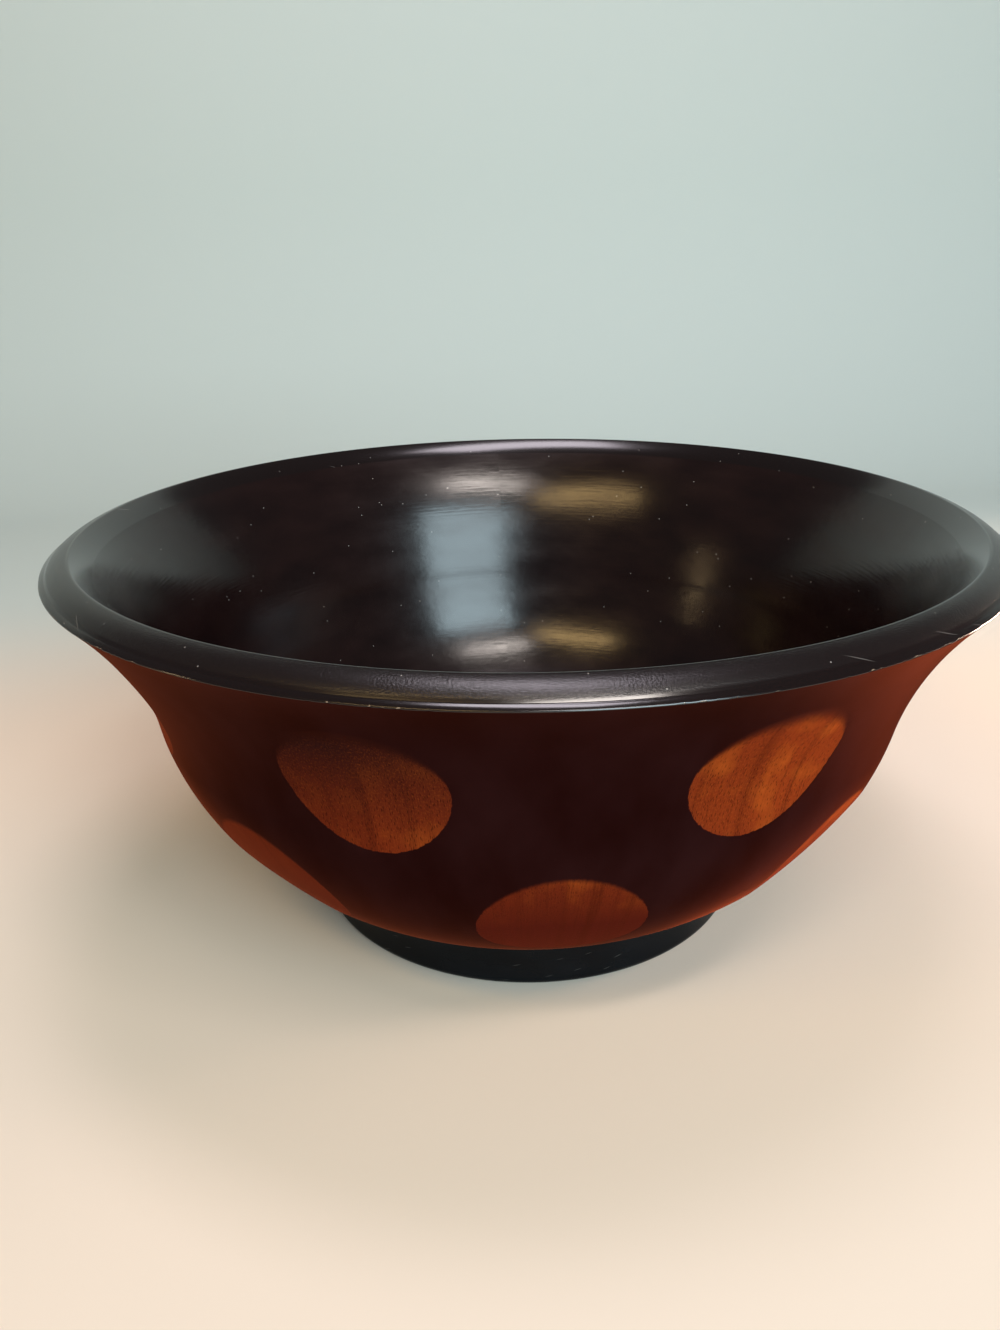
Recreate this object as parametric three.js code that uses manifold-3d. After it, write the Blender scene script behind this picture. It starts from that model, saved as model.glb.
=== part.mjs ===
// A footed wooden bowl: glued staves turned to an ogee wall, a stepped bottom disc let into them from below,
// a foot ring under both and a half-round rim ring on top. Two staggered rows of round facets are cut
// across the staves' joints. Millimetres, +Z up, origin where the axis meets the surface it stands on.
import * as THREE from 'three';
import { mergeVertices } from 'three/addons/utils/BufferGeometryUtils.js';
import Module from 'manifold-3d';

const wasm = await Module();
wasm.setup();
const { degToRad } = THREE.MathUtils;

// Wall, outer face
const RIM_RADIUS = 165; // sharp lower edge of the lip
const RIM_EDGE_HEIGHT = 139.5; // that edge above the table
const RIM_SLOPE = degToRad(46); // the flare's slope at that edge
const FLARE_ARC = 118; // radius of the hollow upper part
const FLARE_START = 83.5; // height where the round belly turns into the flare
const SEAT_RADIUS = 82.7; // lower end of the belly, on the foot
const FOOT_HEIGHT = 18;

// Wall, inner face
const WALL = 12;
const FLOOR_THICKNESS = 8; // floor above the foot's upper face
const FLOOR_TURN_RISE = 18; // height over the floor where the inner wall starts to turn into it

// Lip
const LIP_RISE = 5.8; // crest above the sharp edge
const LIP_REACH = 8; // crest in from the sharp edge
const LIP_FACE = 1.8; // upright face above the sharp edge
const TONGUE_WIDTH = 4;
const TONGUE_DEPTH = 3;

// Bottom disc and foot ring
const STAVE_LAND = 8.7; // lower end of a stave outside the disc's flange
const DISC_STEP = 4; // flange of the disc beyond its spigot
const FLANGE_THICKNESS = 4;
const FLOOR_BORDER = 15; // curved border of the disc's upper face
const BOSS_DEPTH = 3; // boss under the disc that centres the foot
const FOOT_INSET = 1.7; // foot in from the belly's lower end
const FOOT_WIDTH = 19;
const FOOT_ROUND = 2.5; // rounded lower edges of the foot

// Facets
const FACETS_PER_ROW = 8;
const UPPER_FACET_HEIGHT = 105; // middle of the facet above the table
const UPPER_FACET_DIAMETER = 49.5;
const LOWER_FACET_HEIGHT = 52.5;
const LOWER_FACET_DIAMETER = 51;

// Fits
const GLUE_LINE = 0.3; // gap between glued faces
const CUTTER_REACH = 10; // how far a facet's cutter stands out beyond the wall
const CUTTER_OVERRUN = 1.1; // length of a cutter along the wall, in facet diameters

// Smoothness
const SECTORS_PER_STAVE = 4;
const FACE_STEPS = 10;
const CURVE_STEPS = 3;

// Worked out from the sizes above
const STAVES = 2 * FACETS_PER_ROW;
const staveAngle = (2 * Math.PI) / STAVES;
const flangeRadius = SEAT_RADIUS - STAVE_LAND;
const spigotRadius = flangeRadius - DISC_STEP;
const floorRadius = spigotRadius - FLOOR_BORDER;
const flangeTop = FOOT_HEIGHT + FLANGE_THICKNESS;
const floorHeight = FOOT_HEIGHT + FLOOR_THICKNESS;
const footRadius = SEAT_RADIUS - FOOT_INSET;
const footBore = footRadius - FOOT_WIDTH;
const crestHeight = RIM_EDGE_HEIGHT + LIP_RISE;

// The ogee: the flare's arc ends at the rim with the given slope, and the belly's arc leaves it in the same
// direction and passes through the seat. A lean is the face's slope to the table at a point.
const flareCentre = new THREE.Vector2(
  RIM_RADIUS + FLARE_ARC * Math.sin(RIM_SLOPE),
  RIM_EDGE_HEIGHT - FLARE_ARC * Math.cos(RIM_SLOPE),
);
const turnLean = Math.acos((FLARE_START - flareCentre.y) / FLARE_ARC);
const turnPoint = new THREE.Vector2(
  flareCentre.x - FLARE_ARC * Math.sin(turnLean),
  FLARE_START,
);
const inward = new THREE.Vector2(-Math.sin(turnLean), Math.cos(turnLean));
const seatOffset = new THREE.Vector2(SEAT_RADIUS, FOOT_HEIGHT).sub(turnPoint);
const bellyArc = seatOffset.lengthSq() / (2 * seatOffset.dot(inward));
const bellyCentre = turnPoint.clone().addScaledVector(inward, bellyArc);

// Distance along the outer face, up from the turn, of the point at a height on the face at a depth
function alongAt(height, depth) {
  if (height > turnPoint.y + depth * inward.y) {
    const lean = Math.acos((height - flareCentre.y) / (FLARE_ARC + depth));
    return FLARE_ARC * (turnLean - lean);
  }
  const lean = Math.acos((bellyCentre.y - height) / (bellyArc - depth));
  return bellyArc * (lean - turnLean);
}

// Slope of the face at a distance along it
function leanAt(along) {
  return along > 0 ? turnLean - along / FLARE_ARC : turnLean + along / bellyArc;
}

// Section point at a distance along the outer face and a depth below it, as radius and height
function wallPoint(along, depth) {
  const lean = leanAt(along);
  const centre = along > 0 ? flareCentre : bellyCentre;
  const reach = along > 0 ? -FLARE_ARC - depth : bellyArc - depth;
  return new THREE.Vector2(
    centre.x + reach * Math.sin(lean),
    centre.y - reach * Math.cos(lean),
  );
}

// Section points along a face from one distance to another
function wallCurve(from, to, depth, steps) {
  return Array.from({ length: steps + 1 }, (_, i) => wallPoint(from + ((to - from) * i) / steps, depth));
}

// The inner wall's upper end, and the curve by which it turns into the floor
const innerTop = alongAt(RIM_EDGE_HEIGHT, WALL);
const innerEdge = wallPoint(innerTop, WALL);
const innerEnd = alongAt(floorHeight + FLOOR_TURN_RISE, WALL);
const turnStart = wallPoint(innerEnd, WALL);
const turnCorner = new THREE.Vector2(
  turnStart.x - FLOOR_TURN_RISE / Math.tan(leanAt(innerEnd)),
  floorHeight,
);
const floorTurn = new THREE.QuadraticBezierCurve(
  turnStart,
  turnCorner,
  new THREE.Vector2(floorRadius, floorHeight),
);

// Where the floor's curve reaches a radius: the root of its quadratic in the radius
function floorTurnAt(radius) {
  const { v0, v1, v2 } = floorTurn;
  const square = v0.x - 2 * v1.x + v2.x;
  const slope = 2 * (v0.x - v1.x);
  const rest = v0.x - radius;
  return (2 * rest) / (slope + Math.sqrt(slope ** 2 - 4 * square * rest));
}

// Points of a curve from one parameter to another
function curvePoints(curve, from, to, steps) {
  return Array.from({ length: steps + 1 }, (_, i) => curve.getPoint(from + ((to - from) * i) / steps));
}

// Quarter of an ellipse from its outer end, or its lower end, to the next
function quarter(centre, acrossRadius, upRadius, fromAngle) {
  const ellipse = new THREE.EllipseCurve(
    centre.x,
    centre.y,
    acrossRadius,
    upRadius,
    fromAngle,
    fromAngle + Math.PI / 2,
  );
  return ellipse.getPoints(CURVE_STEPS);
}

// Closed mesh whose corners are shared, without the empty triangles at a pole
function closed(geometry) {
  const bare = geometry.clone();
  bare.deleteAttribute('normal');
  bare.deleteAttribute('uv');
  const merged = mergeVertices(bare);
  const corners = Array.from(merged.index.array);
  const kept = [];
  for (let i = 0; i < corners.length; i += 3) {
    const [a, b, c] = corners.slice(i, i + 3);
    if (a !== b && b !== c && c !== a) {
      kept.push(a, b, c);
    }
  }
  merged.setIndex(kept);
  merged.computeVertexNormals();
  return merged;
}

// Solid of revolution about +Z from section points that run up its outer side
function turned(points) {
  return closed(new THREE.LatheGeometry(points, STAVES * SECTORS_PER_STAVE).rotateX(Math.PI / 2));
}

function toSolid(geometry) {
  return new wasm.Manifold(
    new wasm.Mesh({
      numProp: 3,
      vertProperties: Float32Array.from(geometry.attributes.position.array),
      triVerts: Uint32Array.from(geometry.index.array),
    }),
  );
}

function toGeometry(solid) {
  const mesh = solid.getMesh();
  const geometry = new THREE.BufferGeometry();
  geometry.setAttribute('position', new THREE.BufferAttribute(Float32Array.from(mesh.vertProperties), 3));
  geometry.setIndex(Array.from(mesh.triVerts));
  geometry.computeVertexNormals();
  return geometry;
}

// Wall ring: the turned section that the staves share
const grooveMiddle = (innerEdge.x + RIM_RADIUS) / 2;
const grooveHalf = TONGUE_WIDTH / 2 + GLUE_LINE;
const grooveFloor = RIM_EDGE_HEIGHT - TONGUE_DEPTH - GLUE_LINE;

function wallSection() {
  return [
    ...wallCurve(alongAt(FOOT_HEIGHT, 0), alongAt(RIM_EDGE_HEIGHT, 0), 0, FACE_STEPS),
    new THREE.Vector2(grooveMiddle + grooveHalf, RIM_EDGE_HEIGHT),
    new THREE.Vector2(grooveMiddle + grooveHalf, grooveFloor),
    new THREE.Vector2(grooveMiddle - grooveHalf, grooveFloor),
    new THREE.Vector2(grooveMiddle - grooveHalf, RIM_EDGE_HEIGHT),
    ...wallCurve(innerTop, innerEnd, WALL, FACE_STEPS),
    ...curvePoints(floorTurn, 0, floorTurnAt(spigotRadius), CURVE_STEPS).slice(1),
    new THREE.Vector2(spigotRadius, flangeTop),
    new THREE.Vector2(flangeRadius, flangeTop),
    new THREE.Vector2(flangeRadius, FOOT_HEIGHT),
    new THREE.Vector2(SEAT_RADIUS, FOOT_HEIGHT),
  ];
}

// Cutter of one facet, centred on +X: flat across, and hollowed along the wall so that its edge on the wall
// is a circle. The cut is deepest in the middle, by the rise of a chord of the facet's diameter.
function facetCutter(height, diameter) {
  const radius = diameter / 2;
  const middle = alongAt(height, 0);
  const wallRadius = wallPoint(middle, 0).x;
  const rise = wallRadius - Math.sqrt(wallRadius ** 2 - radius ** 2);
  const cutDepth = rise * Math.sin(leanAt(middle));
  const inner = [];
  const outer = [];
  for (let i = 0; i <= FACE_STEPS; i += 1) {
    const share = CUTTER_OVERRUN * ((2 * i) / FACE_STEPS - 1);
    inner.push(wallPoint(middle + share * radius, cutDepth * (1 - share ** 2)));
    outer.unshift(wallPoint(middle + share * radius, -CUTTER_REACH));
  }
  const width = diameter + 2 * CUTTER_REACH;
  const block = new THREE.ExtrudeGeometry(new THREE.Shape([...inner, ...outer]), {
    depth: width,
    steps: 1,
    bevelEnabled: false,
  });
  return closed(block.rotateX(Math.PI / 2).translate(0, width / 2, 0));
}

// One stave's share of the circle, centred on +X, with half a glue line taken off each side
function staveWedge() {
  const half = staveAngle / 2;
  const tip = GLUE_LINE / 2 / Math.sin(half);
  const far = 2 * RIM_RADIUS;
  const spread = (far - tip) * Math.tan(half);
  const outline = new THREE.Shape([
    new THREE.Vector2(tip, 0),
    new THREE.Vector2(far, -spread),
    new THREE.Vector2(far, spread),
  ]);
  return closed(new THREE.ExtrudeGeometry(outline, { depth: crestHeight, steps: 1, bevelEnabled: false }));
}

// A stave has half an upper facet on one side joint and half a lower facet on the other
function staveGeometry(upperSide) {
  const upper = facetCutter(UPPER_FACET_HEIGHT, UPPER_FACET_DIAMETER);
  const lower = facetCutter(LOWER_FACET_HEIGHT, LOWER_FACET_DIAMETER);
  upper.rotateZ((upperSide * staveAngle) / 2);
  lower.rotateZ((-upperSide * staveAngle) / 2);
  const blank = toSolid(turned(wallSection())).intersect(toSolid(staveWedge()));
  return toGeometry(blank.subtract(toSolid(upper)).subtract(toSolid(lower)));
}

// Bottom disc: flange and spigot in the staves' rebate, floor above, boss below
function discSection() {
  const spigot = spigotRadius - GLUE_LINE;
  const flange = flangeRadius - GLUE_LINE;
  const boss = footBore - GLUE_LINE;
  return [
    new THREE.Vector2(0, FOOT_HEIGHT - BOSS_DEPTH),
    new THREE.Vector2(boss, FOOT_HEIGHT - BOSS_DEPTH),
    new THREE.Vector2(boss, FOOT_HEIGHT),
    new THREE.Vector2(flange, FOOT_HEIGHT),
    new THREE.Vector2(flange, flangeTop - GLUE_LINE),
    new THREE.Vector2(spigot, flangeTop - GLUE_LINE),
    ...curvePoints(floorTurn, floorTurnAt(spigot), 1, CURVE_STEPS),
    new THREE.Vector2(0, floorHeight),
  ];
}

// Foot ring: flat below, rounded at both lower edges
function footSection() {
  const top = FOOT_HEIGHT - GLUE_LINE;
  const innerRound = new THREE.Vector2(footBore + FOOT_ROUND, FOOT_ROUND);
  const outerRound = new THREE.Vector2(footRadius - FOOT_ROUND, FOOT_ROUND);
  const section = [
    ...quarter(innerRound, FOOT_ROUND, FOOT_ROUND, Math.PI),
    ...quarter(outerRound, FOOT_ROUND, FOOT_ROUND, -Math.PI / 2),
    new THREE.Vector2(footRadius, top),
    new THREE.Vector2(footBore, top),
  ];
  return [...section, section[0]];
}

// Rim ring: sharp lower edge, short upright face, rolled top that runs into the inner wall, tongue below
function rimSection() {
  const under = RIM_EDGE_HEIGHT + GLUE_LINE;
  const tongueEnd = RIM_EDGE_HEIGHT - TONGUE_DEPTH;
  const roll = new THREE.Vector2(RIM_RADIUS - LIP_REACH, RIM_EDGE_HEIGHT + LIP_FACE);
  const crest = new THREE.Vector2(roll.x, crestHeight);
  const innerFoot = new THREE.Vector2(innerEdge.x, under);
  const innerCorner = new THREE.Vector2(
    innerEdge.x + (crestHeight - under) / Math.tan(leanAt(innerTop)),
    crestHeight,
  );
  const innerRoll = new THREE.QuadraticBezierCurve(crest, innerCorner, innerFoot);
  return [
    new THREE.Vector2(RIM_RADIUS, under),
    ...quarter(roll, LIP_REACH, LIP_RISE - LIP_FACE, 0),
    ...curvePoints(innerRoll, 0, 1, CURVE_STEPS).slice(1),
    new THREE.Vector2(grooveMiddle - TONGUE_WIDTH / 2, under),
    new THREE.Vector2(grooveMiddle - TONGUE_WIDTH / 2, tongueEnd),
    new THREE.Vector2(grooveMiddle + TONGUE_WIDTH / 2, tongueEnd),
    new THREE.Vector2(grooveMiddle + TONGUE_WIDTH / 2, under),
    new THREE.Vector2(RIM_RADIUS, under),
  ];
}

// Finishes
const brownLacquer = new THREE.MeshStandardMaterial({ color: 0x2a1411, roughness: 0.3, metalness: 0 });
const darkLacquer = new THREE.MeshStandardMaterial({ color: 0x120c0b, roughness: 0.18, metalness: 0 });
const blackLacquer = new THREE.MeshStandardMaterial({ color: 0x0b0d10, roughness: 0.2, metalness: 0 });

const bowl = new THREE.Group();

function addPiece(name, geometry, material) {
  const piece = new THREE.Mesh(geometry, material);
  piece.name = name;
  bowl.add(piece);
  return piece;
}

// Staves, from the joint on -Y, where a lower facet faces the viewer, anticlockwise
const staveShapes = [staveGeometry(1), staveGeometry(-1)];
for (let i = 0; i < STAVES; i += 1) {
  const name = `stave_${String(i + 1).padStart(2, '0')}`;
  const stave = addPiece(name, staveShapes[i % 2], brownLacquer);
  stave.rotation.z = staveAngle * (i + 0.5) - Math.PI / 2;
}

addPiece('bottom_disc', turned(discSection()), darkLacquer);
addPiece('foot_ring', turned(footSection()), blackLacquer);
addPiece('rim_ring', turned(rimSection()), darkLacquer);

export default bowl;
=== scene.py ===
"""Looks of a footed wooden bowl: staved ogee wall, two rows of round facets, rolled lip, floor, foot."""
import logging
from dataclasses import dataclass
from enum import Enum
from functools import cached_property
from math import acos, cos, pi, radians, sin, sqrt, tan

import bpy
import numpy as np
from mathutils import Matrix, Vector


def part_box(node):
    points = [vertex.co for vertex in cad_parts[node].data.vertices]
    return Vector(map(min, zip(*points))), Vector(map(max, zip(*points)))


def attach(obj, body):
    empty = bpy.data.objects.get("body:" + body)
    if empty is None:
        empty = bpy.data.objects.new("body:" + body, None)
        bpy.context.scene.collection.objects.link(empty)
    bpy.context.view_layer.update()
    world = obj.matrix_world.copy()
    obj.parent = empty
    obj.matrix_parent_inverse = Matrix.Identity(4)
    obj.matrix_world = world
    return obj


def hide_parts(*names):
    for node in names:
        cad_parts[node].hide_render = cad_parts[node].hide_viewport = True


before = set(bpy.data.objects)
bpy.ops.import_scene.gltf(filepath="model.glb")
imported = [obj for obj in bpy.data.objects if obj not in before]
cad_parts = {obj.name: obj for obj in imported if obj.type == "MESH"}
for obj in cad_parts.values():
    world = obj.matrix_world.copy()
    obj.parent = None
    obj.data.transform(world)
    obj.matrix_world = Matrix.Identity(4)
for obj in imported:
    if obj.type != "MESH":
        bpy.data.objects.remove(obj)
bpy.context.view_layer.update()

LOG = logging.getLogger("bowl")
MM = 0.001
BODY = "root"
UV_NAME = "surface"
IMAGE_WIDTH = 1000.0
SEED = 7
LACQUER_IOR = 1.5
# Depth given to places outside every facet, mm
UNCUT = -3.0

Array = np.ndarray
Socket = bpy.types.NodeSocket
Node = bpy.types.Node


class Polish(Enum):
    """How far a finish was rubbed, as the shader's roughness."""

    RUBBED = 0.36
    SATIN = 0.27
    GLOSS = 0.17


class Slot(Enum):
    """Names of the finishes' material slots."""

    STAVE = "stave"
    FLOOR = "floor"
    FOOT = "foot"
    LIP = "lip"


# Small tools

def linear(code: str) -> tuple[float, float, float, float]:
    """Turns an sRGB hex colour into the linear colour that shaders take.

    Args:
        code: Six hex digits, with or without a leading hash.

    Returns:
        Linear red, green, blue and an alpha of 1.
    """
    parts = [int(code.lstrip("#")[i:i + 2], 16) / 255 for i in (0, 2, 4)]
    red, green, blue = (c / 12.92 if c <= 0.04045 else ((c + 0.055) / 1.055) ** 2.4 for c in parts)
    return red, green, blue, 1.0


def new_object(name: str, data: bpy.types.ID) -> bpy.types.Object:
    """Adds an object that holds a mesh, a light or a camera to the scene."""
    holder = bpy.data.objects.new(name, data)
    bpy.context.scene.collection.objects.link(holder)
    return holder


def smoothstep(low: float, high: float, value: Array) -> Array:
    """Smooth rise from 0 at low to 1 at high: 3t^2 - 2t^3 of the clipped share t."""
    share = np.clip((value - low) / (high - low), 0.0, 1.0)
    return share * share * (3.0 - 2.0 * share)


def around(radius: Array, height: Array, azimuth: Array) -> Array:
    """Points at a radius and height, turned from -Y towards +X by an azimuth.

    Args:
        radius: Distance from the axis, mm.
        height: Height above the ground, mm.
        azimuth: Turn about +Z, radians, 0 on -Y.

    Returns:
        Array of x, y, z with one more axis than the broadcast inputs.
    """
    radius, height, azimuth = np.broadcast_arrays(radius, height, azimuth)
    return np.stack([radius * np.sin(azimuth), -radius * np.cos(azimuth), height], -1)


def turns(steps: int) -> Array:
    """Azimuths of equal steps right round the axis, from the back."""
    return np.arange(steps) * 2 * pi / steps - pi


def section_normals(section: Array) -> Array:
    """Outward normals of an open line that runs up its outer side: its tangent turned by -90 degrees."""
    tangent = np.gradient(section, axis=0)
    normal = np.stack([tangent[:, 1], -tangent[:, 0]], -1)
    return normal / np.linalg.norm(normal, axis=1, keepdims=True)


def lengths(line: Array) -> Array:
    """Length along a line at each of its points."""
    return np.concatenate([[0.0], np.cumsum(np.linalg.norm(np.diff(line, axis=0), axis=1))])


# Shapes of the bowl's parts, in millimetres

@dataclass(frozen=True)
class WallSection:
    """Ogee section of the wall: a hollow flare arc that meets the rim edge, and a round belly arc below it.

    A place on the section is given by the distance along the outer face, up from the turn between the two
    arcs, and by the depth below that face.
    """

    rim_radius: float
    rim_height: float
    foot_height: float
    rim_slope: float = radians(46)
    flare_arc: float = 118.0
    flare_start: float = 83.5
    seat_radius: float = 82.7
    wall: float = 12.0
    swell: float = 1.4
    swell_reach: float = 16.0
    floor_thickness: float = 8.0
    floor_turn_rise: float = 18.0
    stave_land: float = 8.7
    disc_step: float = 4.0
    flange: float = 4.0
    floor_border: float = 15.0
    boss_depth: float = 3.0
    tongue_width: float = 4.0
    tongue_depth: float = 3.0

    @cached_property
    def flare_centre(self) -> tuple[float, float]:
        """Centre of the flare's arc, outside the wall."""
        return (self.rim_radius + self.flare_arc * sin(self.rim_slope),
                self.rim_height - self.flare_arc * cos(self.rim_slope))

    @cached_property
    def turn_lean(self) -> float:
        """Slope of the face where belly and flare meet."""
        return acos((self.flare_start - self.flare_centre[1]) / self.flare_arc)

    @cached_property
    def belly(self) -> tuple[float, float, float]:
        """Radius and centre of the belly's arc, which runs on from the flare and ends at the seat."""
        turn_radius = self.flare_centre[0] - self.flare_arc * sin(self.turn_lean)
        inward = (-sin(self.turn_lean), cos(self.turn_lean))
        across = self.seat_radius - turn_radius
        down = self.foot_height - self.flare_start
        arc = (across**2 + down**2) / (2 * (across * inward[0] + down * inward[1]))
        return arc, turn_radius + arc * inward[0], self.flare_start + arc * inward[1]

    @property
    def floor_height(self) -> float:
        """Height of the bowl's floor inside."""
        return self.foot_height + self.floor_thickness

    @property
    def flange_radius(self) -> float:
        """Rebate in the staves' lower ends."""
        return self.seat_radius - self.stave_land

    @property
    def spigot_radius(self) -> float:
        """Joint between staves and bottom disc on the inside."""
        return self.flange_radius - self.disc_step

    @property
    def floor_radius(self) -> float:
        """Edge of the flat part of the floor."""
        return self.spigot_radius - self.floor_border

    @property
    def inner_edge(self) -> float:
        """Radius of the inner wall at the rim joint."""
        along = np.array(self.along_at(self.rim_height, self.wall))
        return float(self.point(along, self.wall)[0])

    @property
    def tongue(self) -> Array:
        """Corners of the lip's tongue in the middle of the wall's end, from inside: radius and height."""
        middle = (self.inner_edge + self.rim_radius) / 2
        inner = middle - self.tongue_width / 2
        outer = middle + self.tongue_width / 2
        low = self.rim_height - self.tongue_depth
        return np.array([(inner, self.rim_height), (inner, low), (outer, low), (outer, self.rim_height)])

    @property
    def rebate(self) -> Array:
        """Corners of the rebate that takes the bottom disc, from inside: radius and height."""
        top = self.foot_height + self.flange
        return np.array([(self.spigot_radius, top), (self.flange_radius, top),
                         (self.flange_radius, self.foot_height)])

    def lean(self, along: Array) -> Array:
        """Slope of the face to the ground at a distance along it."""
        flare = self.turn_lean - along / self.flare_arc
        belly = self.turn_lean + along / self.belly[0]
        return np.where(along > 0, flare, belly)

    def point(self, along: Array, depth: Array) -> tuple[Array, Array]:
        """Radius and height at a distance along the face and a depth below it.

        Args:
            along: Distance along the outer face, up from the turn, mm.
            depth: Depth below the outer face, mm.

        Returns:
            Radius and height, mm: the arc's centre plus its radius, less the depth, at the face's slope.
        """
        lean = self.lean(along)
        arc, centre_radius, centre_height = self.belly
        up = along > 0
        reach = np.where(up, -self.flare_arc - depth, arc - depth)
        radius = np.where(up, self.flare_centre[0], centre_radius) + reach * np.sin(lean)
        height = np.where(up, self.flare_centre[1], centre_height) - reach * np.cos(lean)
        return radius, height

    def along_at(self, height: float, depth: float = 0.0) -> float:
        """Distance along the face of the point at a height and a depth."""
        arc, _, centre_height = self.belly
        if height > self.flare_start + depth * cos(self.turn_lean):
            lean = acos((height - self.flare_centre[1]) / (self.flare_arc + depth))
            return self.flare_arc * (self.turn_lean - lean)
        return arc * (acos((centre_height - height) / (arc - depth)) - self.turn_lean)

    def inner_line(self, steps: int) -> Array:
        """Inside of the bowl from the rim joint down the wall and round to the middle of the floor.

        The wall runs parallel to its outer face, a little thicker below the turn than above it. It then
        turns into the floor by a quadratic curve whose corner is where the wall's direction meets the floor.

        Args:
            steps: Points on the wall, and again on the curve and on the floor together.

        Returns:
            Rows of radius and height.
        """
        top = self.along_at(self.rim_height, self.wall)
        turn_height = self.floor_height + self.floor_turn_rise
        end = self.along_at(turn_height, self.wall)
        along = np.linspace(top, end, steps)
        depth = self.wall + self.swell * smoothstep(-self.swell_reach, self.swell_reach, -along)
        wall = np.stack(self.point(along, depth), -1)
        start = wall[-1]
        drop = start[1] - self.floor_height
        corner = np.array([start[0] - drop / tan(float(self.lean(np.array(end)))), self.floor_height])
        edge = np.array([self.floor_radius, self.floor_height])
        share = np.linspace(0.0, 1.0, steps)[1:, None]
        curve = (1 - share)**2 * start + 2 * share * (1 - share) * corner + share**2 * edge
        rings = np.array([0.75, 0.5, 0.25, 0.0]) * self.floor_radius
        floor = np.stack([rings, np.full(len(rings), self.floor_height)], -1)
        return np.concatenate([wall, curve, floor])


@dataclass(frozen=True)
class FacetRow:
    """A row of round facets cut through the finish, flat across the wall and hollowed along it."""

    height: float
    diameter: float
    phase: float
    top_fade: float
    count: int = 8
    edge_fade: float = 0.045
    fade_from: float = 0.1

    def share(self, section: WallSection, along: Array) -> Array:
        """Place along the wall in facet radii from the facet's middle, positive upwards."""
        return (along - section.along_at(self.height)) / (self.diameter / 2)

    def depth(self, section: WallSection, along: Array, azimuth: Array) -> Array:
        """Depth of the cut below the uncut wall.

        The cut sinks by cut * (1 - share^2) along the wall. It is flat across, so at an angle off its
        middle the round wall falls back to it by radius * (1/cos(angle) - 1) * sin(lean). Its edge is
        then a circle.

        Args:
            section: The wall's section.
            along: Distance along the outer face, mm.
            azimuth: Azimuth of the place, radians.

        Returns:
            Depth in mm, negative outside the facet.
        """
        half = self.diameter / 2
        middle = np.array(section.along_at(self.height))
        wall_radius = float(section.point(middle, 0.0)[0])
        cut = (wall_radius - sqrt(wall_radius**2 - half**2)) * float(np.sin(section.lean(middle)))
        pitch = 2 * pi / self.count
        angle = (azimuth - self.phase * pitch + pitch / 2) % pitch - pitch / 2
        local_radius = section.point(along, 0.0)[0]
        lift = local_radius * (1 / np.cos(angle) - 1) * np.sin(section.lean(along))
        return np.maximum(cut * (1 - self.share(section, along)**2) - lift, UNCUT)

    def fade(self, section: WallSection, along: Array) -> Array:
        """Depth over which the finish thins out: crisp below and at the sides, softer at the top."""
        rise = smoothstep(self.fade_from, 1.0, self.share(section, along))
        return self.edge_fade + (self.top_fade - self.edge_fade) * rise


@dataclass
class Patch:
    """A grid of points with what its surface needs: normals, a flat map and named numbers."""

    points: Array
    normals: Array
    flat: Array
    numbers: dict[str, Array]


def sweep(name: str, patch: Patch, closed: bool, caps: tuple[int, ...] = (),
          second_from: int | None = None) -> bpy.types.Object:
    """Makes a mesh object from a section carried round the axis.

    Grid point (i, j) is point i of the section at azimuth j. Neighbouring points make quads whose normal is
    the azimuth's direction crossed with the section's, which points out where the section runs up outside.
    Where a closed sweep ends, the flat map runs on past its last azimuth instead of jumping back.

    Args:
        name: Name of the object.
        patch: Grid of points, in mm, and its values.
        closed: True if the last azimuth joins the first, False for a sector with flat ends.
        caps: Section rows that a flat face closes, at the axis.
        second_from: Section row from which faces take the second material, if any do.

    Returns:
        The object, linked to the scene, in metres.
    """
    rows, columns = patch.points.shape[:2]
    index = np.arange(rows * columns).reshape(rows, columns)
    loop = not caps
    up = np.roll(index, -1, 0) if loop else index[1:]
    here = index if loop else index[:-1]
    if closed:
        quads = np.stack([here, np.roll(here, -1, 1), np.roll(up, -1, 1), up], -1).reshape(-1, 4)
    else:
        quads = np.stack([here[:, :-1], here[:, 1:], up[:, 1:], up[:, :-1]], -1).reshape(-1, 4)
    faces = quads.tolist()
    if not closed:
        faces += [index[:, 0].tolist(), index[::-1, -1].tolist()]
    for row in caps:
        ring = index[row].tolist()
        faces.append(ring[::-1] if row == 0 else ring)
    mesh = bpy.data.meshes.new(name)
    mesh.from_pydata((patch.points.reshape(-1, 3) * MM).tolist(), [], faces, shade_flat=False)
    if second_from is not None:
        slots = np.zeros(len(faces), np.int32)
        across = columns if closed else columns - 1
        slots[:len(quads)] = np.repeat(np.arange(len(here)) >= second_from, across)
        mesh.polygons.foreach_set("material_index", slots)
    corners = np.empty(len(mesh.loops), np.int32)
    mesh.loops.foreach_get("vertex_index", corners)
    flat = mesh.uv_layers.new(name=UV_NAME)
    spread = np.broadcast_to(patch.flat, (rows, columns, 2)).reshape(-1, 2)[corners] * MM
    if closed:
        last = spread[:quads.size].reshape(-1, columns, 4, 2)[:, -1]
        last[:, 1:3, 0] += columns * (patch.flat[0, 1, 0] - patch.flat[0, 0, 0]) * MM
    flat.data.foreach_set("uv", spread.astype(np.float32).ravel())
    for key, values in patch.numbers.items():
        layer = mesh.attributes.new(key, "FLOAT", "POINT")
        layer.data.foreach_set("value", np.broadcast_to(values, (rows, columns)).astype(np.float32).ravel())
    mesh.normals_split_custom_set_from_vertices(patch.normals.reshape(-1, 3).tolist())
    return new_object(name, mesh)


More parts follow.
